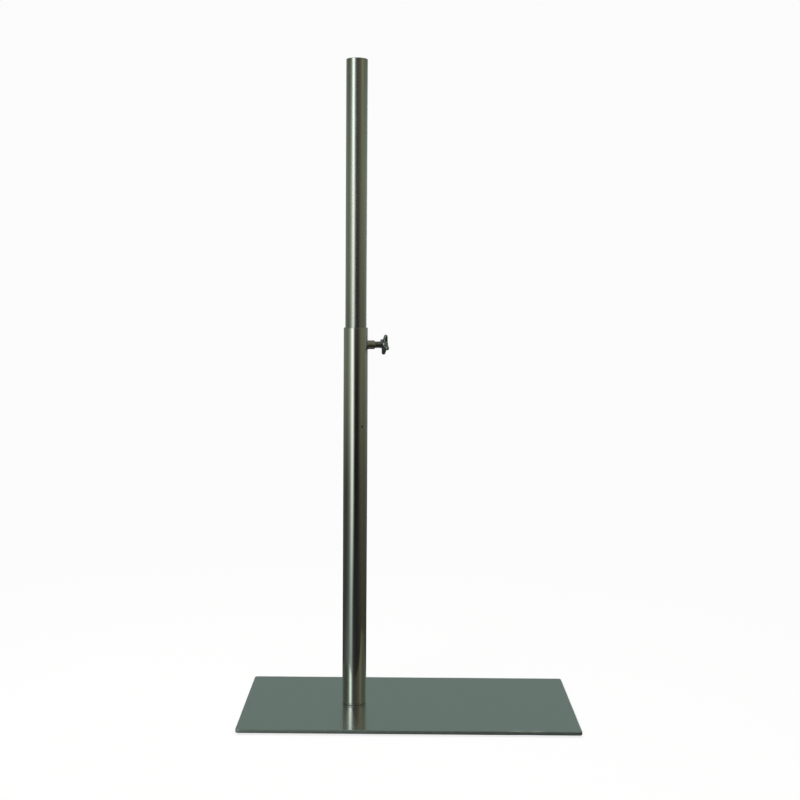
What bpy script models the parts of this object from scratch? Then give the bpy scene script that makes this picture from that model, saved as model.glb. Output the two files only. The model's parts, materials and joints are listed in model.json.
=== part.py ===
"""Telescopic pole stand: a round tube that slides and turns in a fixed tube on a flat base plate.

Metres, +Z up. The origin is on the floor under the centre of the base plate, +X runs along the
plate's long side away from the pole, and +Y points to the back.
"""

import math

import bmesh
import bpy
from mathutils import Vector

# Base plate, standing on four bumpers.
PLATE_WIDTH = 0.350
PLATE_DEPTH = 0.170
PLATE_THICKNESS = 0.004
PLATE_CORNER_RADIUS = 0.003
PLATE_EDGE_BREAK = 0.0005
PAD_RADIUS = 0.007
PAD_HEIGHT = 0.0017
PAD_EDGE_BREAK = 0.0004
PAD_INSET = 0.016

# Pole: 1 inch fixed tube, 7/8 inch sliding tube.
POLE_FRACTION = 1 / 3
LOWER_RADIUS = 0.0127
UPPER_RADIUS = 0.0111
TUBE_WALL = 0.0012
TUBE_EDGE_BREAK = 0.0002
LOWER_RIM_ABOVE_PLATE = 0.402
UPPER_SHOWN = 0.275
UPPER_LENGTH = 0.400

# Plug that closes the foot of the fixed tube, and the countersunk M6 bolt that holds it.
PLUG_FLANGE = 0.002
PLUG_FLANGE_RADIUS = 0.0125
PLUG_LENGTH = 0.020
BOLT_RADIUS = 0.003
BOLT_LENGTH = 0.016
BOLT_HEAD_RADIUS = 0.00565
BOLT_HEAD_LAND = 0.0005
HEX_KEY_RADIUS = 0.0023
HEX_KEY_DEPTH = 0.0020

# Plastic bush that guides the sliding tube's lower end.
BUSH_COLLAR = 0.008
BUSH_SPIGOT = 0.015
BUSH_CLEARANCE = 0.0001

# M5 hand screw. Distances out from the pole's axis, along the screw.
SCREW_BELOW_RIM = 0.018
SCREW_AZIMUTH = math.radians(19)
BOSS_RADIUS = 0.0046
BOSS_END = 0.0203
BOSS_EDGE_BREAK = 0.0004
STUD_RADIUS = 0.0025
STUD_END = 0.0280
TIP_RADIUS = 0.0023
TIP_LENGTH = 0.0020
KNOB_CENTRE = 0.0315
KNOB_FRONT = 0.0352
DOME_FROM = 0.0321
NECK_RADIUS = 0.0034
NECK_STRAIGHT_END = 0.0256
HUB_RADIUS = 0.0056
HUB_BACK = 0.0296
ARM_REACH = 0.0115
ARM_TIP_RADIUS = 0.0020
ARM_ROOT_RADIUS = 0.0034
KNOB_TURN = math.radians(22)

# Gap between pieces that touch, which also stands for the thread's depth at a threaded bore.
GAP = 0.0003

TUBE_STEPS = 72
SMALL_STEPS = 32
MERGE = 0.00001

# Heights and places that follow from the dimensions above.
PLATE_BOTTOM = PAD_HEIGHT + GAP
PLATE_TOP = PLATE_BOTTOM + PLATE_THICKNESS
POLE_X = PLATE_WIDTH * (POLE_FRACTION - 0.5)
LOWER_BORE = LOWER_RADIUS - TUBE_WALL
UPPER_BORE = UPPER_RADIUS - TUBE_WALL
FLANGE_TOP = PLATE_TOP + GAP + PLUG_FLANGE
LOWER_RIM = PLATE_TOP + LOWER_RIM_ABOVE_PLATE
UPPER_TOP = LOWER_RIM + UPPER_SHOWN
UPPER_BOTTOM = UPPER_TOP - UPPER_LENGTH
SCREW_HEIGHT = LOWER_RIM - SCREW_BELOW_RIM
BOLT_CLEARANCE = BOLT_RADIUS + GAP
STUD_CLEARANCE = STUD_RADIUS + GAP

PARTS = "telescopic_stand"
HELPERS = "cutters"


def clear_scene():
    for old in list(bpy.data.objects):
        bpy.data.objects.remove(old, do_unlink=True)
    for name in (PARTS, HELPERS):
        collection = bpy.data.collections.new(name)
        bpy.context.scene.collection.children.link(collection)


def material(name, colour, roughness, metallic):
    made = bpy.data.materials.new(name)
    made.use_nodes = True
    shader = made.node_tree.nodes["Principled BSDF"]
    shader.inputs["Base Color"].default_value = (*colour, 1)
    shader.inputs["Roughness"].default_value = roughness
    shader.inputs["Metallic"].default_value = metallic
    made.diffuse_color = (*colour, 1)
    return made


def placed(obj, location=(0, 0, 0), parent=None, collection=PARTS, finish=None):
    bpy.data.collections[collection].objects.link(obj)
    obj.location = location
    obj.parent = parent
    if finish:
        obj.data.materials.append(finish)
    if collection == HELPERS:
        obj.hide_render = True
        obj.display_type = "WIRE"
    return obj


def turned(name, profile, steps=SMALL_STEPS, hollow=False, **place):
    """A turned piece: (radius, height) points down the outer side, swept about local Z."""
    count = len(profile)
    edges = [(i, (i + 1) % count) for i in range(count if hollow else count - 1)]
    mesh = bpy.data.meshes.new(name)
    mesh.from_pydata([(radius, 0, height) for radius, height in profile], edges, [])
    obj = placed(bpy.data.objects.new(name, mesh), **place)
    sweep = obj.modifiers.new("sweep", "SCREW")
    sweep.steps = sweep.render_steps = steps
    sweep.use_merge_vertices = True
    sweep.merge_threshold = MERGE
    sweep.use_smooth_shade = True
    return obj


def boolean(obj, tool, operation="DIFFERENCE"):
    cut = obj.modifiers.new(tool.name, "BOOLEAN")
    cut.operation = operation
    cut.object = tool


def tube_profile(outer, bore, top, bottom, edge):
    return [
        (outer - edge, top),
        (outer, top - edge),
        (outer, bottom + edge),
        (outer - edge, bottom),
        (bore + edge, bottom),
        (bore, bottom + edge),
        (bore, top - edge),
        (bore + edge, top),
    ]


def arc(centre, reach, start, end, steps):
    """Points of an elliptical arc in (radius, height), from one angle to the other in degrees."""
    angles = [math.radians(start + (end - start) * i / steps) for i in range(steps + 1)]
    across = [round(centre[0] + reach[0] * math.cos(angle), 9) for angle in angles]
    along = [round(centre[1] + reach[1] * math.sin(angle), 9) for angle in angles]
    return list(zip(across, along))


def make_base_plate(finish):
    mesh = bpy.data.meshes.new("base_plate")
    shape = bmesh.new()
    bmesh.ops.create_cube(shape, size=1)
    bmesh.ops.scale(shape, vec=(PLATE_WIDTH, PLATE_DEPTH, PLATE_THICKNESS), verts=shape.verts)
    uprights = [edge for edge in shape.edges if abs((edge.verts[0].co - edge.verts[1].co).z) > MERGE]
    bmesh.ops.bevel(
        shape, geom=uprights, offset=PLATE_CORNER_RADIUS, segments=6, profile=0.5, affect="EDGES"
    )
    shape.to_mesh(mesh)
    shape.free()
    mesh.shade_smooth()
    mesh.set_sharp_from_angle(angle=math.radians(30))
    centre = (0, 0, PLATE_BOTTOM + PLATE_THICKNESS / 2)
    plate = placed(bpy.data.objects.new("base_plate", mesh), centre, finish=finish)
    edge_break = plate.modifiers.new("edge break", "BEVEL")
    edge_break.width = PLATE_EDGE_BREAK
    edge_break.segments = 2
    edge_break.limit_method = "ANGLE"
    edge_break.angle_limit = math.radians(40)
    boolean(plate, countersink())


def countersink():
    """The bolt's hole through the plate: a 90 degree countersink that opens below."""
    mouth = BOLT_HEAD_RADIUS + GAP
    straight_from = PLATE_BOTTOM + BOLT_HEAD_LAND + mouth - BOLT_CLEARANCE
    below = PLATE_BOTTOM - PLATE_THICKNESS
    above = PLATE_TOP + PLATE_THICKNESS
    profile = [
        (0, above),
        (BOLT_CLEARANCE, above),
        (BOLT_CLEARANCE, straight_from),
        (mouth, PLATE_BOTTOM + BOLT_HEAD_LAND),
        (mouth, below),
        (0, below),
    ]
    return turned("bolt_hole", profile, location=(POLE_X, 0, 0), collection=HELPERS)


def make_pads(finish):
    profile = [
        (0, PAD_HEIGHT),
        (PAD_RADIUS, PAD_HEIGHT),
        (PAD_RADIUS, PAD_EDGE_BREAK),
        (PAD_RADIUS - PAD_EDGE_BREAK, 0),
        (0, 0),
    ]
    for row, side_y in (("front", -1), ("back", 1)):
        for column, side_x in (("left", -1), ("right", 1)):
            x = side_x * (PLATE_WIDTH / 2 - PAD_INSET)
            y = side_y * (PLATE_DEPTH / 2 - PAD_INSET)
            turned(f"pad_{row}_{column}", profile, location=(x, y, 0), finish=finish)


def make_base_bolt(finish, pole):
    bottom = PLATE_BOTTOM
    cone_top = bottom + BOLT_HEAD_LAND + BOLT_HEAD_RADIUS - BOLT_RADIUS
    top = bottom + BOLT_LENGTH
    profile = [
        (0, top),
        (BOLT_RADIUS - 2 * GAP, top),
        (BOLT_RADIUS, top - 2 * GAP),
        (BOLT_RADIUS, cone_top),
        (BOLT_HEAD_RADIUS, bottom + BOLT_HEAD_LAND),
        (BOLT_HEAD_RADIUS, bottom),
        (0, bottom),
    ]
    bolt = turned("base_bolt", profile, parent=pole, finish=finish)
    mesh = bpy.data.meshes.new("hex_key_hole")
    shape = bmesh.new()
    bmesh.ops.create_cone(
        shape,
        cap_ends=True,
        segments=6,
        radius1=HEX_KEY_RADIUS,
        radius2=HEX_KEY_RADIUS,
        depth=2 * HEX_KEY_DEPTH,
    )
    shape.to_mesh(mesh)
    shape.free()
    key = bpy.data.objects.new("hex_key_hole", mesh)
    boolean(bolt, placed(key, (0, 0, bottom), parent=pole, collection=HELPERS))


def make_foot_plug(finish, pole):
    """Flanged plug in the foot of the fixed tube, tapped for the base bolt."""
    body = LOWER_BORE - GAP
    bottom = PLATE_TOP + GAP
    top = FLANGE_TOP + PLUG_LENGTH
    edge = TUBE_EDGE_BREAK
    profile = [
        (body - 2 * GAP, top),
        (body, top - 2 * GAP),
        (body, FLANGE_TOP),
        (PLUG_FLANGE_RADIUS - edge, FLANGE_TOP),
        (PLUG_FLANGE_RADIUS, FLANGE_TOP - edge),
        (PLUG_FLANGE_RADIUS, bottom + edge),
        (PLUG_FLANGE_RADIUS - edge, bottom),
        (BOLT_CLEARANCE, bottom),
        (BOLT_CLEARANCE, top),
    ]
    turned("foot_plug", profile, TUBE_STEPS, hollow=True, parent=pole, finish=finish)


def make_lower_tube(finish, pole, screw):
    profile = tube_profile(LOWER_RADIUS, LOWER_BORE, LOWER_RIM, FLANGE_TOP + GAP, TUBE_EDGE_BREAK)
    tube = turned("lower_tube", profile, TUBE_STEPS, hollow=True, parent=pole, finish=finish)
    start, end = UPPER_RADIUS / 2, BOSS_END
    drill = [(0, end), (STUD_CLEARANCE, end), (STUD_CLEARANCE, start), (0, start)]
    boolean(tube, turned("screw_hole", drill, parent=screw, collection=HELPERS))


def make_upper_tube(finish, pole):
    profile = tube_profile(UPPER_RADIUS, UPPER_BORE, UPPER_TOP, UPPER_BOTTOM, TUBE_EDGE_BREAK)
    turned("upper_tube", profile, TUBE_STEPS, hollow=True, parent=pole, finish=finish)


def make_guide_bush(finish, pole):
    """Plug in the sliding tube's lower end, with a collar that fills the fixed tube's bore."""
    collar = LOWER_BORE - BUSH_CLEARANCE
    spigot = UPPER_BORE - GAP
    collar_top = UPPER_BOTTOM - GAP
    collar_bottom = collar_top - BUSH_COLLAR
    top = collar_top + BUSH_SPIGOT
    profile = [
        (0, top),
        (spigot - 2 * GAP, top),
        (spigot, top - 2 * GAP),
        (spigot, collar_top),
        (collar - 2 * GAP, collar_top),
        (collar, collar_top - 2 * GAP),
        (collar, collar_bottom + 2 * GAP),
        (collar - 2 * GAP, collar_bottom),
        (0, collar_bottom),
    ]
    turned("guide_bush", profile, TUBE_STEPS, parent=pole, finish=finish)


def make_clamp_boss(finish, pole, screw):
    """Threaded boss welded to the fixed tube, its root cut to sit on the tube."""
    edge = BOSS_EDGE_BREAK
    profile = [
        (BOSS_RADIUS - edge, BOSS_END),
        (BOSS_RADIUS, BOSS_END - edge),
        (BOSS_RADIUS, LOWER_BORE / 2),
        (STUD_CLEARANCE, LOWER_BORE / 2),
        (STUD_CLEARANCE, BOSS_END),
    ]
    boss = turned("clamp_boss", profile, hollow=True, parent=screw, finish=finish)
    reach = 4 * BOSS_RADIUS
    seat = LOWER_RADIUS + GAP
    outline = [
        (0, SCREW_HEIGHT + reach),
        (seat, SCREW_HEIGHT + reach),
        (seat, SCREW_HEIGHT - reach),
        (0, SCREW_HEIGHT - reach),
    ]
    tube_seat = turned("tube_seat", outline, TUBE_STEPS, parent=pole, collection=HELPERS)
    boolean(boss, tube_seat)


def make_pressure_tip(finish, screw):
    """Brass pad between the screw and the sliding tube. It does not turn with the screw."""
    inner = UPPER_RADIUS + GAP
    outer = inner + TIP_LENGTH
    edge = GAP
    profile = [
        (0, outer),
        (TIP_RADIUS - edge, outer),
        (TIP_RADIUS, outer - edge),
        (TIP_RADIUS, inner + edge),
        (TIP_RADIUS - edge, inner),
        (0, inner),
    ]
    turned("pressure_tip", profile, parent=screw, finish=finish)


def make_clamp_stud(finish, screw):
    inner = UPPER_RADIUS + TIP_LENGTH + 2 * GAP
    edge = 2 * GAP
    profile = [
        (0, STUD_END),
        (STUD_RADIUS, STUD_END),
        (STUD_RADIUS, inner + edge),
        (STUD_RADIUS - edge, inner),
        (0, inner),
    ]
    turned("clamp_stud", profile, parent=screw, finish=finish)


def make_clamp_knob(finish, screw):
    """Cross-head knob: a hub on a flared neck, with two tapered bars through the hub."""
    neck_end = BOSS_END + GAP
    profile = [
        *arc((0, DOME_FROM), (HUB_RADIUS, KNOB_FRONT - DOME_FROM), 90, 0, 5),
        *arc(
            (HUB_RADIUS, NECK_STRAIGHT_END),
            (HUB_RADIUS - NECK_RADIUS, HUB_BACK - NECK_STRAIGHT_END),
            90,
            180,
            4,
        ),
        (NECK_RADIUS, neck_end + GAP),
        (NECK_RADIUS - GAP, neck_end),
        (STUD_CLEARANCE, neck_end),
        (STUD_CLEARANCE, STUD_END + GAP),
        (0, STUD_END + GAP),
    ]
    knob = turned("clamp_knob", profile, parent=screw, finish=finish)
    knob.rotation_euler.z = math.pi + KNOB_TURN
    tip_centre = ARM_REACH - ARM_TIP_RADIUS
    tip_reach = (ARM_TIP_RADIUS, ARM_TIP_RADIUS)
    bar = [
        *arc((0, tip_centre), tip_reach, 90, 5, 5),
        (ARM_ROOT_RADIUS, 0),
        *arc((0, -tip_centre), tip_reach, -5, -90, 5),
    ]
    for index in range(2):
        arms = turned(f"knob_arms_{index + 1}", bar, 20, parent=knob, collection=HELPERS)
        arms.location.z = KNOB_CENTRE
        arms.rotation_euler = (index * math.pi / 2, math.pi / 2, 0)
        boolean(knob, arms, "UNION")


def main():
    clear_scene()
    plate_steel = material("plate_steel", (0.36, 0.39, 0.38), 0.22, 1)
    fixed_steel = material("lower_tube_steel", (0.46, 0.46, 0.43), 0.20, 1)
    sliding_steel = material("upper_tube_steel", (0.55, 0.56, 0.53), 0.28, 1)
    knob_chrome = material("knob_chrome", (0.40, 0.42, 0.42), 0.15, 1)
    bolt_steel = material("bolt_steel", (0.30, 0.30, 0.30), 0.35, 1)
    plug_steel = material("plug_steel", (0.48, 0.48, 0.46), 0.30, 1)
    brass = material("tip_brass", (0.72, 0.55, 0.26), 0.30, 1)
    nylon = material("bush_nylon", (0.04, 0.04, 0.04), 0.45, 0)
    rubber = material("pad_rubber", (0.02, 0.02, 0.02), 0.75, 0)

    pole = placed(bpy.data.objects.new("pole_axis", None), (POLE_X, 0, 0))
    screw = placed(bpy.data.objects.new("screw_axis", None), (0, 0, SCREW_HEIGHT), parent=pole)
    screw.rotation_euler = Vector((0, math.pi / 2, SCREW_AZIMUTH))

    make_base_plate(plate_steel)
    make_pads(rubber)
    make_base_bolt(bolt_steel, pole)
    make_foot_plug(plug_steel, pole)
    make_lower_tube(fixed_steel, pole, screw)
    make_upper_tube(sliding_steel, pole)
    make_guide_bush(nylon, pole)
    make_clamp_boss(fixed_steel, pole, screw)
    make_pressure_tip(brass, screw)
    make_clamp_stud(bolt_steel, screw)
    make_clamp_knob(knob_chrome, screw)


main()
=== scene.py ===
"""Looks of the telescopic pole stand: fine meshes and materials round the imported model.

Metres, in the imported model's frame: +Z up, the origin on the floor under the base plate's centre,
+X along the plate's long side and +Y to the back.
"""

import json
import math

import bmesh
import bpy
from mathutils import Matrix, Vector, noise


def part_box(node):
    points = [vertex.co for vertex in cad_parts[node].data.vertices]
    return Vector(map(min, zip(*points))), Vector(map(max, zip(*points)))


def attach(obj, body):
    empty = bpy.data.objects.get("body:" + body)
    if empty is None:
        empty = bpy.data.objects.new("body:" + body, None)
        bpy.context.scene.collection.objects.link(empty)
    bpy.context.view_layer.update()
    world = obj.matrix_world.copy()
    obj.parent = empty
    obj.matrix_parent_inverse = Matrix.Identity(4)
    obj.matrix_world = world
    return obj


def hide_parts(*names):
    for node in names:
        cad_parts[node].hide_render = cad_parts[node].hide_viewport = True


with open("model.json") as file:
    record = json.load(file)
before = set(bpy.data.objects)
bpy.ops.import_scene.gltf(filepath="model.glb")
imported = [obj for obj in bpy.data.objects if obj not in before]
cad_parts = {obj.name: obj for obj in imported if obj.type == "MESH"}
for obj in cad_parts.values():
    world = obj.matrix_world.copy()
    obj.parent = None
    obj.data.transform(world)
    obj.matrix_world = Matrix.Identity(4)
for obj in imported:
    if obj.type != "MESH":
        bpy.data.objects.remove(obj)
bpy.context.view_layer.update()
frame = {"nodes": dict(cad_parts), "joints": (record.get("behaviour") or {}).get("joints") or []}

# Camera, at the photograph's viewing angle.
CAMERA_PLACE = (-0.0111, -1.2723, 0.4455)
CAMERA_PITCH = math.radians(5.082)
CAMERA_YAW = math.radians(-0.023)
CAMERA_ROLL = math.radians(0.457)
CAMERA_LENS = 54.64

# Sizes that a node's box does not give. FIT_GAP is the model's gap between touching pieces.
FIT_GAP = 0.0003
TUBE_WALL = 0.0012
RIM_ROUND = 0.00035
BORE_ROUND = 0.00020

# The foot's flange: FOOT_SEAT lowers it towards the plate, and FOOT_SEAM is left above it.
FOOT_ROUND = 0.00010
FOOT_SEAT = 0.00014
FOOT_SEAM = 0.00006

# The plate's corners in plan, and its eased edge, ground deeper along one stretch of the front,
# where the plate's material also paints a highlight.
PLATE_CORNER = 0.003
PLATE_ARRIS = 0.00070
EDGE_WEAR_AND_HIGHLIGHT_FROM = 0.099
EDGE_WEAR_AND_HIGHLIGHT_TO = 0.1395
EDGE_WEAR_DEPTH = 0.00045

# The bolt from below: its hole and countersink, its shank and its hex socket.
COUNTERSINK_RADIUS = 0.00595
COUNTERSINK_LAND = 0.0005
BOLT_HOLE_RADIUS = 0.0033
BOLT_SHANK = 0.003
SOCKET_RADIUS = 0.0023
SOCKET_DEPTH = 0.0020

# The hand screw. The knob's heights are measured from the end of its neck.
THREAD_PITCH_M5 = 0.0008
THREAD_DEPTH = 0.00045
THREAD_CHAMFER = 0.0002
WELD_RADIUS = 0.00055
KNOB_TURN = math.radians(22)
KNOB_NECK_RADIUS = 0.0034
KNOB_HUB_RADIUS = 0.0054
KNOB_FLARE_FROM = 0.0050
KNOB_FLARE_TO = 0.0095
KNOB_ARMS_AT = 0.0112
KNOB_TIP_RADIUS = 0.00205
KNOB_ROOT_RADIUS = 0.0034
KNOB_CHAMFER = 0.0003

# A small dark mark on the fixed tube: its side of the pole, its height and its radius.
MARK_SIDE = Vector((0.57, -0.82, 0))
MARK_HEIGHT = 0.305
MARK_RADIUS = 0.0013

# A face whose normal is this close to vertical is one of the plate's two flat faces.
LEVEL = 0.9999

TUBE_STEPS = 192
ROUND_STEPS = 96
SMALL_STEPS = 64


# ---------------------------------------------------------------- places read from the frame


def joint(name):
    return next(found for found in frame["joints"] if found["name"] == name)


def span(node, origin, axis):
    """Lowest and highest distance of a node along an axis, and its largest distance from it."""
    points = [vertex.co - origin for vertex in frame["nodes"][node].data.vertices]
    along = [point.dot(axis) for point in points]
    radius = max((point - axis * far).length for point, far in zip(points, along))
    return min(along), max(along), radius


def centre_of(node):
    low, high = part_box(node)
    return (Vector(low) + Vector(high)) / 2


POLE = Vector((centre_of("lower_tube").x, centre_of("lower_tube").y, 0))
UP = Vector((0, 0, 1))
SCREW_ORIGIN = Vector(joint("screw_turn")["pos_m"])
SCREW_AXIS = Vector(joint("screw_turn")["axis"]).normalized()
SCREW_FRAME = Matrix.Translation(SCREW_ORIGIN) @ Matrix.Rotation(
    math.atan2(SCREW_AXIS.y, SCREW_AXIS.x), 4, "Z"
) @ Matrix.Rotation(math.pi / 2, 4, "Y")
POLE_FRAME = Matrix.Translation(POLE)


# ---------------------------------------------------------------- mesh tools


def rounded(corners, closed=False, steps=5):
    """(radius, height, rounding) corners as an outline, with each rounding an arc."""
    outline = []
    for index, (radius, height, rounding) in enumerate(corners):
        here = Vector((radius, height))
        inside = closed or 0 < index < len(corners) - 1
        if not rounding or not inside:
            outline.append(here)
            continue
        before = (Vector(corners[index - 1][:2]) - here).normalized()
        after = (Vector(corners[(index + 1) % len(corners)][:2]) - here).normalized()
        half = before.angle(after) / 2
        centre = here + (before + after).normalized() * rounding / math.sin(half)
        first = here + before * rounding / math.tan(half) - centre
        last = here + after * rounding / math.tan(half) - centre
        for step in range(steps + 1):
            spoke = first.lerp(last, step / steps).normalized() * rounding
            outline.append(centre + spoke)
    return outline


def finished(shape, name, sharp=35):
    """The built shape as a mesh: normals out, smooth but for edges over the sharp angle."""
    bmesh.ops.recalc_face_normals(shape, faces=shape.faces)
    mesh = bpy.data.meshes.new(name)
    shape.to_mesh(mesh)
    shape.free()
    mesh.shade_smooth()
    mesh.set_sharp_from_angle(angle=math.radians(sharp))
    return mesh


def bridge(shape, rows, closed_rows=False):
    """Faces between neighbouring rings of vertices. A ring of one vertex is a point."""
    pairs = list(zip(rows, rows[1:]))
    if closed_rows:
        pairs.append((rows[-1], rows[0]))
    for upper, lower in pairs:
        count = max(len(upper), len(lower))
        for i in range(count):
            j = (i + 1) % count
            corners = [upper[i % len(upper)], lower[i % len(lower)]]
            corners += [lower[j % len(lower)], upper[j % len(upper)]]
            shape.faces.new(list(dict.fromkeys(corners)))


def lathe(name, outline, steps=ROUND_STEPS, hollow=False):
    """An outline of (radius, height) points swept about local Z."""
    shape = bmesh.new()
    rows = []
    for radius, height in outline:
        if radius < 1e-7:
            rows.append([shape.verts.new((0, 0, height))])
            continue
        angles = [2 * math.pi * i / steps for i in range(steps)]
        ring = [(radius * math.cos(a), radius * math.sin(a), height) for a in angles]
        rows.append([shape.verts.new(point) for point in ring])
    bridge(shape, rows, closed_rows=hollow)
    return finished(shape, name)


def evaluated_copy(obj):
    graph = bpy.context.evaluated_depsgraph_get()
    return bpy.data.meshes.new_from_object(obj.evaluated_get(graph))


def combined(mesh, tools, operation="DIFFERENCE", sharp=35):
    """The mesh cut by, or joined with, (tool mesh, matrix) pairs."""
    work = bpy.data.objects.new("work", mesh)
    bpy.context.scene.collection.objects.link(work)
    helpers = []
    for tool_mesh, matrix in tools:
        tool = bpy.data.objects.new("tool", tool_mesh)
        tool.matrix_world = matrix
        bpy.context.scene.collection.objects.link(tool)
        helpers.append(tool)
        boolean = work.modifiers.new("boolean", "BOOLEAN")
        boolean.operation = operation
        boolean.object = tool
    result = evaluated_copy(work)
    for helper in (work, *helpers):
        bpy.data.objects.remove(helper, do_unlink=True)
    result.shade_smooth()
    result.set_sharp_from_angle(angle=math.radians(sharp))
    return result


def blended(mesh, voxel, passes):
    """The mesh as a casting: remeshed evenly, then smoothed so that its inner corners fill."""
    work = bpy.data.objects.new("work", mesh)
    bpy.context.scene.collection.objects.link(work)
    remesh = work.modifiers.new("remesh", "REMESH")
    remesh.mode = "VOXEL"
    remesh.voxel_size = voxel
    smooth = work.modifiers.new("smooth", "SMOOTH")
    smooth.factor = 0.5
    smooth.iterations = passes
    result = evaluated_copy(work)
    bpy.data.objects.remove(work, do_unlink=True)
    result.shade_smooth()
    return result


def piece(name, mesh, body, slot, material, matrix, *nodes):
    """An object that rides on a body, with its finish, in place of the nodes named."""
    obj = bpy.data.objects.new(name, mesh)
    bpy.context.scene.collection.objects.link(obj)
    obj.matrix_world = matrix
    obj.data.materials.clear()
    obj.data.materials.append(material)
    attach(obj, body)
    if nodes:
        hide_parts(*nodes)
    return obj


# ---------------------------------------------------------------- material tools


def add(tree, kind, inputs=None, **settings):
    made = tree.nodes.new(kind)
    for name, value in settings.items():
        setattr(made, name, value)
    for name, value in (inputs or {}).items():
        if isinstance(value, bpy.types.NodeSocket):
            tree.links.new(value, made.inputs[name])
        else:
            made.inputs[name].default_value = value
    return made


def math_node(tree, operation, *values):
    return add(tree, "ShaderNodeMath", dict(enumerate(values)), operation=operation).outputs[0]


def place_on(tree):
    """Where a point is in the piece's own space, in metres."""
    return add(tree, "ShaderNodeTexCoord").outputs["Object"]


def grain(tree, scale, detail=3.0, roughness=0.55, turn=(0, 0, 0)):
    """Noise from 0 to 1 in the piece's own space, with a scale along each axis per metre."""
    mapped = add(
        tree,
        "ShaderNodeMapping",
        {"Vector": place_on(tree), "Scale": scale, "Rotation": turn},
    ).outputs[0]
    values = {"Vector": mapped, "Scale": 1.0, "Detail": detail, "Roughness": roughness}
    return add(tree, "ShaderNodeTexNoise", values).outputs["Fac"]


def remap(tree, value, low, high, to_low=0.0, to_high=1.0, smooth=False):
    values = {
        "Value": value,
        "From Min": low,
        "From Max": high,
        "To Min": to_low,
        "To Max": to_high,
    }
    kind = "SMOOTHSTEP" if smooth else "LINEAR"
    return add(tree, "ShaderNodeMapRange", values, interpolation_type=kind).outputs[0]


def mixed(tree, factor, first, second):
    """The first colour at factor 0, running to the second at 1."""
    made = add(tree, "ShaderNodeMix", data_type="RGBA")
    sockets = [socket for socket in made.inputs if socket.enabled]
    for socket, value in zip(sockets, (factor, first, second)):
        if isinstance(value, bpy.types.NodeSocket):
            tree.links.new(value, socket)
        else:
            socket.default_value = value
    return next(socket for socket in made.outputs if socket.enabled)


def colour(values, factor=1.0):
    return (*[channel * factor for channel in values], 1)


def bump(tree, height, distance, strength=1.0, under=None):
    values = {"Height": height, "Distance": distance, "Strength": strength}
    if under:
        values["Normal"] = under
    return add(tree, "ShaderNodeBump", values).outputs[0]


def new_material(name):
    made = bpy.data.materials.new(name)
    made.use_nodes = True
    tree = made.node_tree
    return made, tree, tree.nodes["Principled BSDF"]


def scratches(tree, long_scale, cross_scale, keep, turn):
    """Rare thin marks, 1 on a mark: noise stretched along one direction and cut off high."""
    marks = grain(tree, (long_scale, cross_scale, cross_scale), 2.0, 0.5, turn)
    return remap(tree, marks, keep, keep + 0.05, smooth=True)


# ---------------------------------------------------------------- materials


MARK_TINT = (0.05, 0.05, 0.045)


def tube_steel(name, tint, rough, ring_depth, spot=None):
    """Stainless tube: polishing rings round it, drawing lines along it, handling marks."""
    made, tree, shader = new_material(name)
    rings = grain(tree, (14, 14, 3600), 2.0, 0.6)
    broad_rings = grain(tree, (5, 5, 420), 3.0, 0.6)
    draw_lines = grain(tree, (900, 900, 2.5), 2.0, 0.5)
    cloud = grain(tree, (26, 26, 11), 4.0, 0.6)
    scuffs = scratches(tree, 1500, 60, 0.70, (0, math.radians(78), 0))

    body = mixed(tree, cloud, colour(tint, 0.93), colour(tint, 1.05))
    roughness = remap(tree, broad_rings, 0.3, 0.7, rough * 0.86, rough * 1.14)
    roughness = math_node(tree, "ADD", roughness, remap(tree, cloud, 0.35, 0.75, -0.01, 0.035))
    roughness = math_node(tree, "MULTIPLY_ADD", scuffs, 0.10, roughness)
    if spot:
        place, radius = spot
        away = add(
            tree,
            "ShaderNodeVectorMath",
            {0: place_on(tree), 1: place},
            operation="DISTANCE",
        ).outputs["Value"]
        pit = remap(tree, away, radius * 0.55, radius, 1.0, 0.0, smooth=True)
        body = mixed(tree, pit, body, colour(MARK_TINT))
        roughness = math_node(tree, "MULTIPLY_ADD", pit, 0.35, roughness)
    normal = bump(tree, rings, ring_depth)
    normal = bump(tree, draw_lines, ring_depth * 1.5, under=normal)
    normal = bump(tree, scuffs, 0.000004, under=normal)
    shader.inputs["Metallic"].default_value = 1.0
    tree.links.new(body, shader.inputs["Base Color"])
    tree.links.new(roughness, shader.inputs["Roughness"])
    tree.links.new(normal, shader.inputs["Normal"])
    return made


# Painted reflection tint for the plate's edges, cooler than the steel.
EDGE_REFLECTION_TINT = (0.55, 0.66, 0.65)
# Painted highlight: the bright colour of two streaks on the plate's front edge.
PAINTED_HIGHLIGHT_TINT = (0.92, 0.95, 0.95)
# Painted shade and reflection tint for the plate's cut sides, darker and cooler than the steel.
SIDE_PAINTED_TINT = (0.55, 0.62, 0.61)


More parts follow.
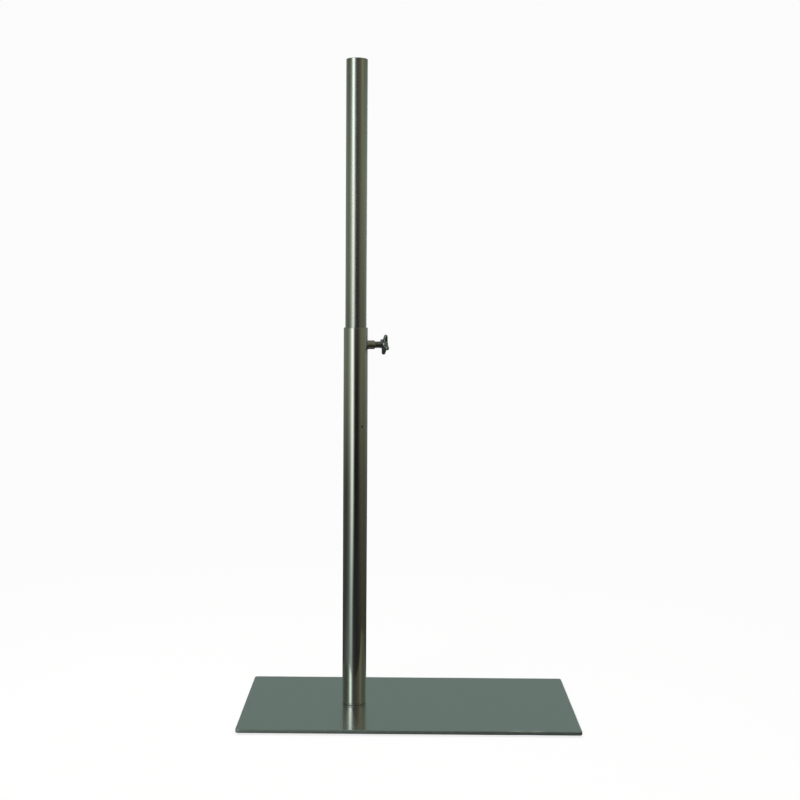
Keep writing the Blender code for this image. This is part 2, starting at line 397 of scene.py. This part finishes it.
def plate_steel(name, tint, rough, size):
    """Polished plate: fine grain and haze, wiping marks, a painted highlight on the front edge,
    edge wear in a cooler painted reflection tint, duller cut sides in a darker painted tint.
    """
    made, tree, shader = new_material(name)
    lines = grain(tree, (9, 2600, 2600), 2.0, 0.6)
    wiped = grain(tree, (7, 34, 34), 4.0, 0.6)
    blotches = grain(tree, (30, 30, 30), 5.0, 0.65)
    hairs = scratches(tree, 18, 1300, 0.715, (0, 0, math.radians(24)))
    hairs_across = scratches(tree, 22, 1500, 0.725, (0, 0, math.radians(-52)))
    marks = math_node(tree, "MAXIMUM", hairs, hairs_across)

    split = add(tree, "ShaderNodeSeparateXYZ", {0: place_on(tree)})
    beside_x = math_node(
        tree, "SUBTRACT", size.x / 2, math_node(tree, "ABSOLUTE", split.outputs["X"])
    )
    beside_y = math_node(
        tree, "SUBTRACT", size.y / 2, math_node(tree, "ABSOLUTE", split.outputs["Y"])
    )
    to_edge = math_node(tree, "MINIMUM", beside_x, beside_y)
    # Near the edges: wear that roughens the steel, and a cooler painted reflection tint in its
    # colour.
    ragged = math_node(tree, "MULTIPLY_ADD", blotches, -0.0012, to_edge)
    wear_and_reflection_tint = remap(tree, ragged, -0.0004, 0.0006, 1.0, 0.0, smooth=True)
    body = mixed(tree, blotches, colour(tint, 0.97), colour(tint, 1.03))
    body = mixed(tree, wear_and_reflection_tint, body, colour(EDGE_REFLECTION_TINT))

    # A painted highlight on the front edge, as two bright streaks side by side, each fading out
    # along the edge and inwards.
    along = remap(tree, split.outputs["X"], EDGE_WEAR_AND_HIGHLIGHT_FROM, EDGE_WEAR_AND_HIGHLIGHT_TO, 0.0, 2 * math.pi)
    two_highlight_streaks = math_node(tree, "ABSOLUTE", math_node(tree, "SINE", along))
    from_front = math_node(tree, "ADD", split.outputs["Y"], size.y / 2)
    uneven = math_node(tree, "MULTIPLY_ADD", blotches, -0.0016, from_front)
    beside_front = remap(tree, uneven, 0.0008, 0.0026, 1.0, 0.0, smooth=True)
    painted_highlight = math_node(tree, "MULTIPLY", two_highlight_streaks, beside_front)
    body = mixed(tree, painted_highlight, body, colour(PAINTED_HIGHLIGHT_TINT))

    # The haze is too fine to see: half of the surface is smooth and half is matt.
    haze = grain(tree, (6000, 14000, 14000), 0.0, 0.5)
    roughness = remap(tree, haze, 0.47, 0.53, rough, rough + 0.22)
    roughness = math_node(tree, "ADD", roughness, remap(tree, wiped, 0.3, 0.7, -0.01, 0.02))
    roughness = math_node(tree, "MULTIPLY_ADD", wear_and_reflection_tint, 0.10, roughness)
    roughness = math_node(tree, "MULTIPLY_ADD", marks, 0.08, roughness)

    # The sheared sides are duller, with marks that run up and down, and carry a darker, cooler
    # painted tint that stands in for the shade and reflected colour on them.
    facing = add(tree, "ShaderNodeNewGeometry").outputs["Normal"]
    upward = add(tree, "ShaderNodeSeparateXYZ", {0: facing}).outputs["Z"]
    upward = math_node(tree, "ABSOLUTE", upward)
    side = remap(tree, upward, 0.25, 0.75, 1.0, 0.0, smooth=True)
    body = mixed(tree, side, body, colour(SIDE_PAINTED_TINT))
    roughness = math_node(tree, "MULTIPLY_ADD", side, 0.10, roughness)
    sheared = grain(tree, (1500, 1500, 25), 3.0, 0.6)
    shear_depth = math_node(tree, "MULTIPLY", side, sheared)

    normal = bump(tree, lines, 0.0000010)
    normal = bump(tree, marks, 0.0000015, under=normal)
    normal = bump(tree, shear_depth, 0.00002, under=normal)
    shader.inputs["Metallic"].default_value = 1.0
    tree.links.new(body, shader.inputs["Base Color"])
    tree.links.new(roughness, shader.inputs["Roughness"])
    tree.links.new(normal, shader.inputs["Normal"])
    return made


def cast_chrome(name, tint, rough, reach):
    """Bright plating over a casting: soft unevenness, colour darker towards the axis, arm ends
    rubbed bright.
    """
    made, tree, shader = new_material(name)
    orange_peel = grain(tree, (900, 900, 900), 3.0, 0.55)
    pits = remap(tree, grain(tree, (2600, 2600, 2600), 2.0, 0.5), 0.70, 0.78, smooth=True)
    cloud = grain(tree, (260, 260, 260), 4.0, 0.6)
    split = add(tree, "ShaderNodeSeparateXYZ", {0: place_on(tree)})
    squares = [math_node(tree, "POWER", split.outputs[axis], 2.0) for axis in ("X", "Y")]
    from_axis = math_node(tree, "SQRT", math_node(tree, "ADD", *squares))
    rubbed = remap(tree, from_axis, reach * 0.55, reach * 0.95, smooth=True)
    darker_inward = remap(tree, from_axis, reach * 0.28, reach * 0.55, 1.0, 0.0, smooth=True)
    body = mixed(tree, math_node(tree, "MULTIPLY", darker_inward, cloud), colour(tint), colour(tint, 0.62))
    body = mixed(tree, math_node(tree, "MULTIPLY", rubbed, cloud), body, colour(tint, 1.25))
    roughness = remap(tree, cloud, 0.3, 0.7, rough * 0.8, rough * 1.4)
    roughness = math_node(tree, "MULTIPLY_ADD", pits, 0.3, roughness)
    normal = bump(tree, orange_peel, 0.000012)
    normal = bump(tree, pits, 0.00001, under=normal)
    shader.inputs["Metallic"].default_value = 1.0
    tree.links.new(body, shader.inputs["Base Color"])
    tree.links.new(roughness, shader.inputs["Roughness"])
    tree.links.new(normal, shader.inputs["Normal"])
    return made


def turned_metal(name, tint, rough):
    """A turned piece: tool marks round its axis, local Z, and a little tarnish."""
    made, tree, shader = new_material(name)
    tool_marks = grain(tree, (30, 30, 5200), 2.0, 0.6)
    tarnish = grain(tree, (420, 420, 420), 4.0, 0.6)
    body = mixed(
        tree, remap(tree, tarnish, 0.4, 0.75), colour(tint), colour(tint, 0.6)
    )
    roughness = remap(tree, tarnish, 0.3, 0.7, rough * 0.8, rough * 1.4)
    shader.inputs["Metallic"].default_value = 1.0
    tree.links.new(body, shader.inputs["Base Color"])
    tree.links.new(roughness, shader.inputs["Roughness"])
    tree.links.new(bump(tree, tool_marks, 0.000008), shader.inputs["Normal"])
    return made


def moulded(name, tint, rough, texture, depth):
    """Rubber or plastic: a fine moulded texture, with lighter dust and rubbing."""
    made, tree, shader = new_material(name)
    skin = grain(tree, (texture, texture, texture), 3.0, 0.6)
    dust = remap(tree, grain(tree, (190, 190, 190), 5.0, 0.65), 0.5, 0.8)
    body = mixed(tree, dust, colour(tint), colour(tint, 2.6))
    roughness = remap(tree, dust, 0.0, 1.0, rough, min(1.0, rough * 1.25))
    tree.links.new(body, shader.inputs["Base Color"])
    tree.links.new(roughness, shader.inputs["Roughness"])
    tree.links.new(bump(tree, skin, depth), shader.inputs["Normal"])
    return made


# ---------------------------------------------------------------- the stand's pieces


def tube_outline(node, foot_round):
    """A tube's wall as a closed outline, with its four edges broken."""
    low, high, radius = span(node, POLE, UP)
    bore = radius - TUBE_WALL
    corners = [
        (radius, high, RIM_ROUND),
        (radius, low, foot_round),
        (bore, low, BORE_ROUND),
        (bore, high, BORE_ROUND),
    ]
    return rounded(corners, closed=True)


def make_fixed_tube(material):
    """The fixed tube, drilled for the screw on the side that the screw is on."""
    outline = tube_outline("lower_tube", FOOT_ROUND)
    mesh = lathe("fixed_tube", outline, TUBE_STEPS, hollow=True)
    tube_radius = span("lower_tube", POLE, UP)[2]
    drill_radius = span("clamp_stud", SCREW_ORIGIN, SCREW_AXIS)[2] * 1.12
    ends = (tube_radius * 0.5, tube_radius * 1.5)
    outline = [(0, ends[1]), (drill_radius, ends[1]), (drill_radius, ends[0]), (0, ends[0])]
    drill = lathe("drill", [Vector(point) for point in outline], 48)
    mesh = combined(mesh, [(drill, POLE_FRAME.inverted() @ SCREW_FRAME)])
    piece("fixed_tube", mesh, "stand", "lower_tube_steel", material, POLE_FRAME, "lower_tube")


def make_sliding_tube(material):
    outline = tube_outline("upper_tube", RIM_ROUND)
    mesh = lathe("sliding_tube", outline, TUBE_STEPS, hollow=True)
    piece("sliding_tube", mesh, "mast", "upper_tube_steel", material, POLE_FRAME, "upper_tube")


def arris_at(x, y):
    """Width of the hand-eased edge, which wanders along it."""
    wander = noise.noise(Vector((x * 22, y * 22, 3.1)))
    wander += 0.5 * noise.noise(Vector((x * 90, y * 90, 7.7)))
    arris = PLATE_ARRIS * (1 + 0.45 * wander)
    if y < 0 and EDGE_WEAR_AND_HIGHLIGHT_FROM < x < EDGE_WEAR_AND_HIGHLIGHT_TO:
        across = (x - EDGE_WEAR_AND_HIGHLIGHT_FROM) / (EDGE_WEAR_AND_HIGHLIGHT_TO - EDGE_WEAR_AND_HIGHLIGHT_FROM)
        arris += EDGE_WEAR_DEPTH * math.sin(math.pi * across) ** 2
    return arris


def plate_ring(size, spacing):
    """(point, outward normal) pairs round the plate's outline, counter-clockwise."""
    ring = []
    arc_steps = 10
    inner_x, inner_y = size.x / 2 - PLATE_CORNER, size.y / 2 - PLATE_CORNER
    for quarter, (side_x, side_y) in enumerate(((1, 1), (-1, 1), (-1, -1), (1, -1))):
        centre = Vector((side_x * inner_x, side_y * inner_y))
        for step in range(arc_steps + 1):
            angle = math.pi / 2 * (quarter + step / arc_steps)
            normal = Vector((math.cos(angle), math.sin(angle)))
            ring.append((centre + normal * PLATE_CORNER, normal))
        length = 2 * (inner_x if quarter % 2 == 0 else inner_y)
        count = round(length / spacing)
        along = Vector((-normal.y, normal.x))
        start = ring[-1][0]
        for step in range(1, count):
            ring.append((start + along * (length * step / count), normal))
    return ring


def make_plate(material):
    """The plate: its outline carried over both eased edges, and drilled under the pole."""
    low, high = (Vector(corner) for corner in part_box("base_plate"))
    size = high - low
    ring = plate_ring(size, 0.002)
    shape = bmesh.new()
    rows = []
    arc_steps = 6
    turns = [math.pi / 2 * step / arc_steps for step in range(arc_steps + 1)]
    for side in (1, -1):
        for turn in turns if side > 0 else reversed(turns):
            row = []
            for point, normal in ring:
                arris = arris_at(point.x, point.y)
                spot = point - normal * arris * (1 - math.sin(turn))
                height = side * (size.z / 2 - arris * (1 - math.cos(turn)))
                row.append(shape.verts.new((spot.x, spot.y, height)))
            rows.append(row)
    bridge(shape, rows)
    shape.faces.new(rows[0])
    shape.faces.new(rows[-1])
    mesh = finished(shape, "plate")

    hole_floor = low.z + COUNTERSINK_LAND
    profile = [
        (0, high.z + size.z),
        (BOLT_HOLE_RADIUS, high.z + size.z),
        (BOLT_HOLE_RADIUS, hole_floor + COUNTERSINK_RADIUS - BOLT_HOLE_RADIUS),
        (COUNTERSINK_RADIUS, hole_floor),
        (COUNTERSINK_RADIUS, low.z - size.z),
        (0, low.z - size.z),
    ]
    drill = lathe("countersink", [Vector(point) for point in profile], SMALL_STEPS)
    plate_frame = Matrix.Translation((low + high) / 2)
    mesh = combined(mesh, [(drill, plate_frame.inverted() @ POLE_FRAME)])
    for face in mesh.polygons:
        face.use_smooth = abs(face.normal.z) < LEVEL
    piece("plate", mesh, "stand", "plate_steel", material, plate_frame, "base_plate")


def make_foot(material):
    """The flange between tube and plate, and the plug's body inside the tube."""
    low, high, radius = span("foot_plug", POLE, UP)
    low -= FOOT_SEAT
    tube_low, _, tube_radius = span("lower_tube", POLE, UP)
    body = tube_radius - TUBE_WALL - FIT_GAP
    flange_top = tube_low - FOOT_SEAM
    corners = [
        (body, high, 0.0008),
        (body, flange_top, 0),
        (radius, flange_top, FOOT_ROUND),
        (radius, low, 2 * FOOT_ROUND),
        (BOLT_HOLE_RADIUS, low, 0.0003),
        (BOLT_HOLE_RADIUS, high, 0.0003),
    ]
    mesh = lathe("foot", rounded(corners, closed=True), TUBE_STEPS, hollow=True)
    piece("foot", mesh, "stand", "plug_steel", material, POLE_FRAME, "foot_plug")


def hexagon_prism(radius, half_height):
    shape = bmesh.new()
    radii = {"radius1": radius, "radius2": radius}
    bmesh.ops.create_cone(shape, cap_ends=True, segments=6, depth=2 * half_height, **radii)
    return finished(shape, "hexagon", 20)


def thread_mesh(name, radius, low, high, pitch, depth, chamfer):
    """A V thread about local Z, as one closed surface with chamfered ends."""
    shape = bmesh.new()
    per_pitch = 10
    flat = 0.12
    core = radius * 0.55
    count = round((high - low) / pitch * per_pitch)
    rows = [[shape.verts.new((0, 0, high))]]
    for row_index in range(count + 1):
        height = high - (high - low) * row_index / count
        row = []
        for i in range(SMALL_STEPS):
            turn = i / SMALL_STEPS
            phase = (height / pitch - turn) % 1.0
            groove = 1 - abs(2 * phase - 1)
            flank = min(1.0, max(0.0, (groove - flat) / (1 - 2 * flat)))
            crest = radius - depth * (1 - flank)
            end_room = min(high - height, height - low)
            limit = radius - depth - chamfer + end_room
            reach = min(crest, max(limit, core))
            angle = 2 * math.pi * turn
            row.append(shape.verts.new((reach * math.cos(angle), reach * math.sin(angle), height)))
        rows.append(row)
    rows.append([shape.verts.new((0, 0, low))])
    bridge(shape, rows)
    return finished(shape, name, 60)


def make_base_bolt(material):
    """Countersunk bolt with a hex socket, seen from below."""
    low, high, head = span("base_bolt", POLE, UP)
    cone_top = low + COUNTERSINK_LAND + head - BOLT_SHANK
    corners = [
        (0, high, 0),
        (BOLT_SHANK, high, 0.0006),
        (BOLT_SHANK, cone_top, 0.0004),
        (head, low + COUNTERSINK_LAND, 0.0002),
        (head, low, 0.00015),
        (0, low, 0),
    ]
    mesh = lathe("bolt", rounded(corners), SMALL_STEPS)
    socket = hexagon_prism(SOCKET_RADIUS, SOCKET_DEPTH)
    mesh = combined(mesh, [(socket, Matrix.Translation((0, 0, low)))], sharp=25)
    piece("bolt", mesh, "stand", "bolt_steel", material, POLE_FRAME, "base_bolt")


def make_pads(material):
    """Four rubber bumpers, each with a rounded rim and a hollow in its underside."""
    for row in ("front", "back"):
        for column in ("left", "right"):
            node = f"pad_{row}_{column}"
            low, high = (Vector(corner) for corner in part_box(node))
            radius, height = (high.x - low.x) / 2, high.z - low.z
            corners = [
                (0, height, 0),
                (radius, height, 0.0001),
                (radius, 0, 0.0007),
                (radius * 0.35, 0, 0.0002),
                (radius * 0.28, height * 0.25, 0.0003),
                (0, height * 0.25, 0),
            ]
            name = f"bumper_{row}_{column}"
            mesh = lathe(name, rounded(corners), SMALL_STEPS)
            middle = (low + high) / 2
            matrix = Matrix.Translation((middle.x, middle.y, low.z))
            piece(name, mesh, "stand", "pad_rubber", material, matrix, node)


def make_bush(material):
    """Nylon plug in the sliding tube's lower end, with a collar that runs in the fixed tube."""
    low, high, radius = span("guide_bush", POLE, UP)
    tube_low, _, tube_radius = span("upper_tube", POLE, UP)
    spigot = tube_radius - TUBE_WALL - FIT_GAP
    collar_top = tube_low - FIT_GAP
    corners = [
        (0, high, 0),
        (spigot, high, 0.0012),
        (spigot, collar_top, 0),
        (radius, collar_top, 0.0006),
        (radius, low, 0.0006),
        (0, low, 0),
    ]
    mesh = lathe("bush", rounded(corners), TUBE_STEPS)
    piece("bush", mesh, "mast_carrier", "bush_nylon", material, POLE_FRAME, "guide_bush")


# ---------------------------------------------------------------- the hand screw


def make_boss(material):
    """The screw's boss, bored through and with its root cut to the tube."""
    _, boss_end, radius = span("clamp_boss", SCREW_ORIGIN, SCREW_AXIS)
    bore = span("clamp_stud", SCREW_ORIGIN, SCREW_AXIS)[2] + 0.0002
    tube_radius = span("lower_tube", POLE, UP)[2]
    corners = [
        (radius, boss_end, 0.0005),
        (radius, tube_radius * 0.6, 0),
        (bore, tube_radius * 0.6, 0),
        (bore, boss_end, 0.0003),
    ]
    mesh = lathe("boss", rounded(corners, closed=True), ROUND_STEPS, hollow=True)
    seat = tube_radius + 0.00005
    top, bottom = SCREW_ORIGIN.z + radius * 3, SCREW_ORIGIN.z - radius * 3
    saddle = [(0, top), (seat, top), (seat, bottom), (0, bottom)]
    cutter = lathe("saddle", [Vector(point) for point in saddle], TUBE_STEPS)
    mesh = combined(mesh, [(cutter, SCREW_FRAME.inverted() @ POLE_FRAME)])
    piece("boss", mesh, "stand", "lower_tube_steel", material, SCREW_FRAME, "clamp_boss")
    return radius, tube_radius


def make_weld(material, boss_radius, tube_radius):
    """Small rippled bead where the boss meets the tube, following the saddle."""
    shape = bmesh.new()
    rows = []
    around, sides = 160, 12
    ring_radius = boss_radius + WELD_RADIUS * 0.25
    for i in range(around):
        angle = 2 * math.pi * i / around
        local_x, local_y = ring_radius * math.cos(angle), ring_radius * math.sin(angle)
        seat = math.sqrt(tube_radius**2 - local_y**2)
        centre = Vector((local_x, local_y, seat + WELD_RADIUS * 0.15))
        outward = Vector((math.cos(angle), math.sin(angle), 0))
        ripple = 1 + 0.06 * math.sin(angle * 26) + 0.10 * noise.noise(centre * 900)
        row = []
        for side in range(sides):
            turn = 2 * math.pi * side / sides
            offset = outward * math.cos(turn) + Vector((0, 0, 1)) * math.sin(turn)
            row.append(shape.verts.new(centre + offset * WELD_RADIUS * ripple))
        rows.append(row)
    bridge(shape, rows, closed_rows=True)
    mesh = finished(shape, "boss_weld", 60)
    piece("boss_weld", mesh, "stand", "lower_tube_steel", material, SCREW_FRAME)


def make_tip(material):
    low, high, radius = span("pressure_tip", SCREW_ORIGIN, SCREW_AXIS)
    corners = [(0, high, 0), (radius, high, 0.0003), (radius, low, 0.0004), (0, low, 0)]
    mesh = lathe("brass_tip", rounded(corners), SMALL_STEPS)
    piece("brass_tip", mesh, "clamp_shoe", "tip_brass", material, SCREW_FRAME, "pressure_tip")


def make_stud(material):
    low, high, radius = span("clamp_stud", SCREW_ORIGIN, SCREW_AXIS)
    sizes = (THREAD_PITCH_M5, THREAD_DEPTH, THREAD_CHAMFER)
    mesh = thread_mesh("stud", radius, low, high, *sizes)
    piece("stud", mesh, "clamp_screw", "bolt_steel", material, SCREW_FRAME, "clamp_stud")


def knob_arms(reach):
    """One bar through the hub: tapered to rounded ends, about local Z."""
    tip_centre = reach - KNOB_TIP_RADIUS
    steps = 9
    end_turn = 84
    turns = [math.radians(90 - end_turn * step / steps) for step in range(steps + 1)]
    upper = [
        Vector((KNOB_TIP_RADIUS * math.cos(a), tip_centre + KNOB_TIP_RADIUS * math.sin(a)))
        for a in turns
    ]
    lower = [Vector((point.x, -point.y)) for point in reversed(upper)]
    return lathe("arms", [*upper, Vector((KNOB_ROOT_RADIUS, 0)), *lower], 48)


def make_knob(material):
    """Cross-head casting: neck, flared hub with a domed face, and four tapered arms."""
    low, high, reach = span("clamp_knob", SCREW_ORIGIN, SCREW_AXIS)
    arms_at = low + KNOB_ARMS_AT
    dome_height = high - arms_at
    flare_width = KNOB_HUB_RADIUS - KNOB_NECK_RADIUS
    flare_length = KNOB_FLARE_TO - KNOB_FLARE_FROM
    steps = 8
    turns = [math.pi / 2 * step / steps for step in range(steps + 1)]
    dome = [
        Vector((KNOB_HUB_RADIUS * math.sin(turn), arms_at + dome_height * math.cos(turn) ** 0.8))
        for turn in turns
    ]
    flare = [
        Vector(
            (
                KNOB_NECK_RADIUS + flare_width * (1 - math.cos(turn)),
                low + KNOB_FLARE_FROM + flare_length * math.sin(turn),
            )
        )
        for turn in reversed(turns)
    ]
    neck = [
        Vector((KNOB_NECK_RADIUS, low + KNOB_CHAMFER)),
        Vector((KNOB_NECK_RADIUS - KNOB_CHAMFER, low)),
        Vector((0, low)),
    ]
    body = lathe("hub", [*dome, *flare, *neck], ROUND_STEPS)

    bars = []
    for quarter_turn in (0, 1):
        turned = Matrix.Rotation(quarter_turn * math.pi / 2, 4, "Z")
        lying = Matrix.Rotation(math.pi / 2, 4, "Y")
        place = Matrix.Translation((0, 0, arms_at)) @ turned @ lying
        bars.append((knob_arms(reach), place))
    mesh = combined(body, bars, "UNION")
    mesh = blended(mesh, 0.0002, 14)
    matrix = SCREW_FRAME @ Matrix.Rotation(math.pi + KNOB_TURN, 4, "Z")
    piece("knob", mesh, "clamp_screw", "knob_chrome", material, matrix, "clamp_knob")


# ---------------------------------------------------------------- studio


def direction_ramp(tree, factor, stops):
    """A ramp over the compass, from (degrees to the right of the camera side, brightness, tint)."""
    ramp = add(tree, "ShaderNodeValToRGB", {"Fac": factor})
    elements = ramp.color_ramp.elements
    while len(elements) > 1:
        elements.remove(elements[-1])
    for index, (degrees, brightness, tint) in enumerate(stops):
        position = 0.5 + degrees / 360
        element = elements[0] if index == 0 else elements.new(position)
        element.position = position
        element.color = colour(tint, brightness)
    return ramp.outputs["Color"]


GREY = (1.0, 1.03, 0.97)
GREEN = (0.98, 1.15, 0.87)
OLIVE = (1.12, 1.12, 0.76)
COOL = (0.91, 1.09, 1.00)
SEA = (0.86, 1.115, 1.025)
BROWN = (1.20, 1.08, 0.72)

# A studio round the stand: a tall light on the left, a dark gap behind the camera, dim walls
# and a narrow light behind on the right. Each row is a height (the Z of a direction) with its
# ramp over the compass.
SURROUND = (
    (
        -0.90,
        (
            (0, 0.05, GREY),
        ),
    ),
    (
        -0.52,
        (
            (-180, 0.050, GREY), (-125, 0.11, GREY), (-80, 0.24, GREY), (-42, 0.32, GREY),
            (-14, 0.10, GREY), (12, 0.030, GREY), (40, 0.016, GREY), (80, 0.020, GREY),
            (125, 0.055, GREY), (155, 0.15, GREY), (180, 0.050, GREY),
        ),
    ),
    (
        -0.29,
        (
            (-180, 0.035, GREY), (-130, 0.055, GREY), (-95, 0.055, GREY), (-72, 0.085, COOL),
            (-56, 0.15, COOL), (-43, 0.38, SEA), (-34, 0.64, SEA), (-25, 0.50, SEA),
            (-17, 0.15, SEA), (-10, 0.040, COOL), (0, 0.026, GREY), (30, 0.030, GREY),
            (55, 0.046, OLIVE), (80, 0.066, OLIVE), (105, 0.055, OLIVE), (135, 0.055, GREY),
            (180, 0.035, GREY),
        ),
    ),
    (
        -0.15,
        (
            (-180, 0.045, GREY), (-135, 0.11, GREY), (-98, 0.045, GREEN), (-78, 0.060, GREEN),
            (-60, 0.12, GREEN), (-46, 0.28, GREY), (-37, 0.80, GREY), (-28, 1.20, GREY),
            (-20, 0.98, GREY), (-12, 0.28, COOL), (-6, 0.035, COOL), (-2, 0.014, GREY),
            (18, 0.014, GREY), (34, 0.024, OLIVE), (50, 0.060, OLIVE), (72, 0.088, OLIVE),
            (95, 0.070, OLIVE), (130, 0.12, GREY), (180, 0.045, GREY),
        ),
    ),
    (
        0.0,
        (
            (-180, 0.24, SEA), (-140, 0.25, GREEN), (-112, 0.21, GREEN), (-92, 0.16, GREEN),
            (-78, 0.18, GREEN), (-64, 0.27, GREEN), (-54, 0.40, GREEN), (-45, 0.70, GREY),
            (-37, 1.22, GREY), (-29, 1.62, GREY), (-22, 1.40, GREY), (-15, 0.60, GREY),
            (-9, 0.16, GREY), (-5, 0.045, GREY), (2, 0.020, GREY), (18, 0.014, GREY),
            (29, 0.030, OLIVE), (40, 0.10, OLIVE), (54, 0.155, OLIVE), (68, 0.15, OLIVE),
            (84, 0.125, OLIVE), (100, 0.17, GREEN), (125, 0.25, GREY), (146, 0.24, GREY),
            (153, 0.95, GREY), (163, 0.95, GREY), (170, 0.24, SEA), (180, 0.24, SEA),
        ),
    ),
    (
        0.13,
        (
            (-180, 0.238, SEA), (-150, 0.25, SEA), (-116, 0.23, GREEN), (-95, 0.18, GREEN),
            (-78, 0.20, GREEN), (-64, 0.29, GREEN), (-55, 0.46, GREEN), (-47, 0.78, GREY),
            (-39, 1.45, GREY), (-31, 1.90, GREY), (-24, 1.55, GREY), (-17, 0.62, GREY),
            (-11, 0.17, GREY), (-4, 0.08, GREY), (4, 0.065, GREY), (20, 0.060, OLIVE),
            (34, 0.095, OLIVE), (48, 0.14, OLIVE), (64, 0.18, OLIVE), (84, 0.24, GREEN),
            (105, 0.26, GREEN), (146, 0.25, SEA), (153, 0.95, GREY), (163, 0.95, GREY),
            (170, 0.238, SEA), (180, 0.238, SEA),
        ),
    ),
    (
        0.29,
        (
            (-180, 0.232, SEA), (-152, 0.225, SEA), (-125, 0.14, GREEN), (-98, 0.09, GREEN),
            (-74, 0.11, GREEN), (-60, 0.22, GREEN), (-51, 0.60, GREY), (-44, 1.70, GREY),
            (-37, 2.50, COOL), (-30, 2.00, COOL), (-24, 0.85, COOL), (-18, 0.25, COOL),
            (-10, 0.085, GREY), (8, 0.06, GREY), (30, 0.10, OLIVE), (45, 0.12, BROWN),
            (57, 0.24, BROWN), (70, 0.26, BROWN), (82, 0.14, OLIVE), (105, 0.12, GREEN),
            (128, 0.16, GREEN), (152, 0.225, SEA), (180, 0.232, SEA),
        ),
    ),
)
CEILING = (0.205, 0.212, 0.175, 1)
BACKDROP = (0.97, 0.97, 0.97, 1)


def make_world():
    """The studio, seen in reflections only. The camera sees the plain backdrop."""
    world = bpy.data.worlds.new("studio")
    bpy.context.scene.world = world
    world.use_nodes = True
    tree = world.node_tree
    direction = add(tree, "ShaderNodeTexCoord").outputs["Generated"]
    turned = add(
        tree,
        "ShaderNodeMapping",
        {"Vector": direction, "Rotation": (0, 0, math.pi / 2)},
    ).outputs[0]
    compass = add(tree, "ShaderNodeTexGradient", {0: turned}, gradient_type="RADIAL")
    around = compass.outputs["Fac"]
    height = add(tree, "ShaderNodeSeparateXYZ", {0: direction}).outputs["Z"]

    rows = [(top, direction_ramp(tree, around, stops)) for top, stops in SURROUND]
    below, surround = rows[0]
    for top, row in rows[1:]:
        surround = mixed(tree, remap(tree, height, below, top), surround, row)
        below = top
    ceiling = remap(tree, height, 0.40, 0.75, smooth=True)
    surround = mixed(tree, ceiling, surround, CEILING)
    seen = add(tree, "ShaderNodeLightPath").outputs["Is Camera Ray"]
    shown = mixed(tree, seen, surround, BACKDROP)
    tree.links.new(shown, tree.nodes["Background"].inputs["Color"])


def make_floor():
    """Pale floor that shades softly near the stand and runs into the backdrop further off."""
    bpy.ops.mesh.primitive_plane_add(size=60)
    floor = bpy.context.object
    floor.name = "floor"
    made, tree, shader = new_material("pale_floor")
    away = add(
        tree, "ShaderNodeVectorMath", {0: place_on(tree)}, operation="LENGTH"
    ).outputs["Value"]
    far = remap(tree, away, 0.25, 1.1, 0.84, 1.0, smooth=True)
    shader.inputs["Base Color"].default_value = (0.9, 0.9, 0.9, 1)
    shader.inputs["Roughness"].default_value = 0.9
    shader.inputs["Specular IOR Level"].default_value = 0.1
    glow = add(tree, "ShaderNodeEmission", {"Color": BACKDROP})
    both = add(
        tree,
        "ShaderNodeMixShader",
        {0: far, 1: shader.outputs[0], 2: glow.outputs[0]},
    )
    tree.links.new(both.outputs[0], tree.nodes["Material Output"].inputs["Surface"])
    floor.data.materials.append(made)
    floor.visible_glossy = False


def make_light():
    """Soft overhead light, which the steel does not mirror."""
    data = bpy.data.lights.new("overhead_softbox", "AREA")
    data.shape = "SQUARE"
    data.size = 2.2
    data.energy = 88
    light = bpy.data.objects.new("overhead_softbox", data)
    light.location = (-0.3, -0.3, 2.6)
    light.visible_glossy = False
    bpy.context.scene.collection.objects.link(light)


def make_camera():
    data = bpy.data.cameras.new("camera")
    data.lens = CAMERA_LENS
    data.sensor_width = 36
    data.clip_start, data.clip_end = 0.01, 100
    camera = bpy.data.objects.new("camera", data)
    camera.matrix_world = (
        Matrix.Translation(CAMERA_PLACE)
        @ Matrix.Rotation(-CAMERA_YAW, 4, "Z")
        @ Matrix.Rotation(math.pi / 2 - CAMERA_PITCH, 4, "X")
        @ Matrix.Rotation(CAMERA_ROLL, 4, "Z")
    )
    bpy.context.scene.collection.objects.link(camera)
    bpy.context.scene.camera = camera


def main():
    scene = bpy.context.scene
    scene.view_settings.view_transform = "Standard"
    make_camera()
    make_world()
    make_light()
    make_floor()

    low, high = (Vector(corner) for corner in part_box("base_plate"))
    mark = MARK_SIDE * span("lower_tube", POLE, UP)[2] + UP * MARK_HEIGHT
    spot = (mark, MARK_RADIUS)
    fixed = tube_steel("polished_tube", (0.60, 0.60, 0.57), 0.13, 0.0000012, spot)
    sliding = tube_steel("satin_tube", (0.62, 0.63, 0.60), 0.24, 0.0000020)
    flat = plate_steel("polished_plate", (0.62, 0.64, 0.63), 0.08, high - low)
    knob_reach = span("clamp_knob", SCREW_ORIGIN, SCREW_AXIS)[2]
    chrome = cast_chrome("cast_chrome", (0.42, 0.45, 0.45), 0.13, knob_reach)
    dark_steel = turned_metal("bolt_steel", (0.34, 0.34, 0.34), 0.30)
    bright_steel = turned_metal("plug_steel", (0.56, 0.56, 0.54), 0.24)
    boss_steel = turned_metal("boss_steel", (0.66, 0.65, 0.58), 0.13)
    brass = turned_metal("tip_brass", (0.78, 0.58, 0.27), 0.26)
    nylon = moulded("bush_nylon", (0.022, 0.022, 0.022), 0.45, 2500, 0.00001)
    rubber = moulded("pad_rubber", (0.018, 0.018, 0.018), 0.75, 1800, 0.00003)

    make_plate(flat)
    make_fixed_tube(fixed)
    make_sliding_tube(sliding)
    make_foot(bright_steel)
    make_base_bolt(dark_steel)
    make_pads(rubber)
    make_bush(nylon)
    boss_radius, tube_radius = make_boss(boss_steel)
    make_weld(boss_steel, boss_radius, tube_radius)
    make_tip(brass)
    make_stud(dark_steel)
    make_knob(chrome)


main()
